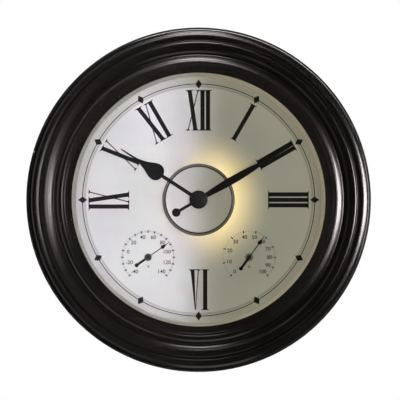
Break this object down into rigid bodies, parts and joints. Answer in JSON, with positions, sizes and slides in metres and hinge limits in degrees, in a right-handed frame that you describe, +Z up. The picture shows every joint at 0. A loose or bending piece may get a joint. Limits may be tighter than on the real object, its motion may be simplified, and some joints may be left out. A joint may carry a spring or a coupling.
{
  "type": "wall clock",
  "caption": "Round wall clock with Roman dial, thermometer and hygrometer gauges, raised lamp disc, moulded dark bezel, quartz movement and battery box.",
  "frame": {"origin": "on the wall plane, at the axis of the wall screw when it sits in the top of the keyhole slot", "axes": "+Z up the dial, +Y into the wall (the dial faces -Y), +X to the right as the dial is read"},
  "size_m": [0.457, 0.0601, 0.457],
  "materials": {
    "bronze_plastic": "moulded, dark oil-rubbed bronze, satin with a soft gloss",
    "case_plastic": "moulded, fine matt grain",
    "lens_glass": "clear flat glass",
    "gasket_rubber": "soft black foam rubber",
    "white_plastic": "white moulding, satin",
    "dial_white": "white printed dial, satin",
    "hand_black": "stamped sheet, black enamel",
    "hub_black": "black, smooth gloss",
    "smoke_plastic": "grey translucent look, gloss",
    "screw_steel": "zinc plated",
    "hanger_steel": "stamped, zinc plated",
    "brass": "turned, bright",
    "arbor_steel": "ground steel",
    "gear_nylon": "natural moulded nylon",
    "movement_black": "moulded black, fine grain",
    "knob_plastic": "moulded, fine knurl",
    "magnet_grey": "sintered magnet",
    "stator_steel": "bare laminated sheet",
    "copper_wire": "enamelled copper winding",
    "board_green": "solder resist, satin",
    "led_white": "white package, pale yellow phosphor",
    "crystal_can": "bright metal can",
    "cell_sleeve": "plain sleeve with bare ends",
    "contact_metal": "nickel plated spring strip",
    "bimetal": "rolled strip"
  },
  "bodies": {
    "case": {"bezel": "bronze_plastic", "lens": "lens_glass", "lens_gasket": "gasket_rubber", "spacer_ring": "white_plastic", "dial_plate": "dial_white", "rear_case": "case_plastic", "case_screws": "screw_steel", "hanger_plate": "hanger_steel", "hanger_screws": "screw_steel", "disc_cap": "white_plastic", "led_board": "board_green", "leds": "led_white", "disc_screws": "screw_steel", "movement_base": "movement_black", "movement_cover": "movement_black", "threaded_bush": "brass", "washer": "brass", "hex_nut": "brass", "stator": "stator_steel", "coil": "copper_wire", "coil_core": "stator_steel", "circuit_board": "board_green", "quartz_crystal": "crystal_can", "clock_cell": "cell_sleeve", "clock_contacts": "contact_metal", "thermometer_can": "case_plastic", "thermometer_coil": "bimetal", "hygrometer_can": "case_plastic", "hygrometer_coil": "bimetal", "light_box": "case_plastic", "light_box_screws": "screw_steel", "light_cells": "cell_sleeve", "light_contacts": "contact_metal", "control_board": "board_green", "switch_body": "movement_black"},
    "minute_works": {"minute_hand": "hand_black", "hub_cap": "hub_black", "minute_arbor": "arbor_steel", "centre_wheel": "gear_nylon"},
    "hour_works": {"hour_hand": "hand_black", "hour_wheel": "gear_nylon"},
    "motion_works": {"motion_wheel": "gear_nylon"},
    "third_works": {"third_wheel": "gear_nylon"},
    "setting_works": {"setting_shaft": "gear_nylon", "setting_knob": "knob_plastic"},
    "motor_rotor": {"rotor": "magnet_grey"},
    "thermometer_needle": {"thermometer_arbor": "arbor_steel", "thermometer_pointer": "hand_black", "thermometer_hub": "hub_black"},
    "hygrometer_needle": {"hygrometer_arbor": "arbor_steel", "hygrometer_pointer": "smoke_plastic", "hygrometer_hub": "hub_black"},
    "door": {"battery_door": "case_plastic"},
    "switch_knob": {"switch_slider": "knob_plastic"}
  },
  "joints": [
    {"name": "minute_turn", "type": "hinge", "parent": "case", "child": "minute_works", "pos_m": [0, -0.024, -0.185], "axis": [0, 1, 0], "continuous": true},
    {"name": "hour_turn", "type": "hinge", "parent": "case", "child": "hour_works", "pos_m": [0, -0.024, -0.185], "axis": [0, 1, 0], "continuous": true},
    {"name": "motion_turn", "type": "hinge", "parent": "case", "child": "motion_works", "pos_m": [0, -0.024, -0.1725], "axis": [0, 1, 0], "continuous": true},
    {"name": "third_turn", "type": "hinge", "parent": "case", "child": "third_works", "pos_m": [-0.01184, -0.024, -0.18069], "axis": [0, 1, 0], "continuous": true},
    {"name": "setting_turn", "type": "hinge", "parent": "case", "child": "setting_works", "pos_m": [-0.01024, -0.024, -0.16533], "axis": [0, 1, 0], "continuous": true},
    {"name": "rotor_turn", "type": "hinge", "parent": "case", "child": "motor_rotor", "pos_m": [0.012, -0.024, -0.177], "axis": [0, 1, 0], "continuous": true},
    {"name": "thermometer_swing", "type": "hinge", "parent": "case", "child": "thermometer_needle", "pos_m": [-0.0675, -0.024, -0.2616], "axis": [0, 1, 0], "range_deg": [-189.8, 80.2], "stiffness_Nm_per_rad": 0.0005},
    {"name": "hygrometer_swing", "type": "hinge", "parent": "case", "child": "hygrometer_needle", "pos_m": [0.0675, -0.024, -0.2616], "axis": [0, 1, 0], "range_deg": [-170.8, 99.2], "stiffness_Nm_per_rad": 0.0005},
    {"name": "door_slide", "type": "slide", "parent": "case", "child": "door", "axis": [0, 0, 1], "range_m": [0, 0.025]},
    {"name": "switch_slide", "type": "slide", "parent": "case", "child": "switch_knob", "axis": [1, 0, 0], "range_m": [-0.003, 0.003]}
  ],
  "couplings": [
    {"joint": "hour_turn", "follows": "minute_turn", "ratio": 0.083333},
    {"joint": "motion_turn", "follows": "minute_turn", "ratio": -0.33333},
    {"joint": "third_turn", "follows": "minute_turn", "ratio": -6},
    {"joint": "setting_turn", "follows": "minute_turn", "ratio": 1}
  ]
}
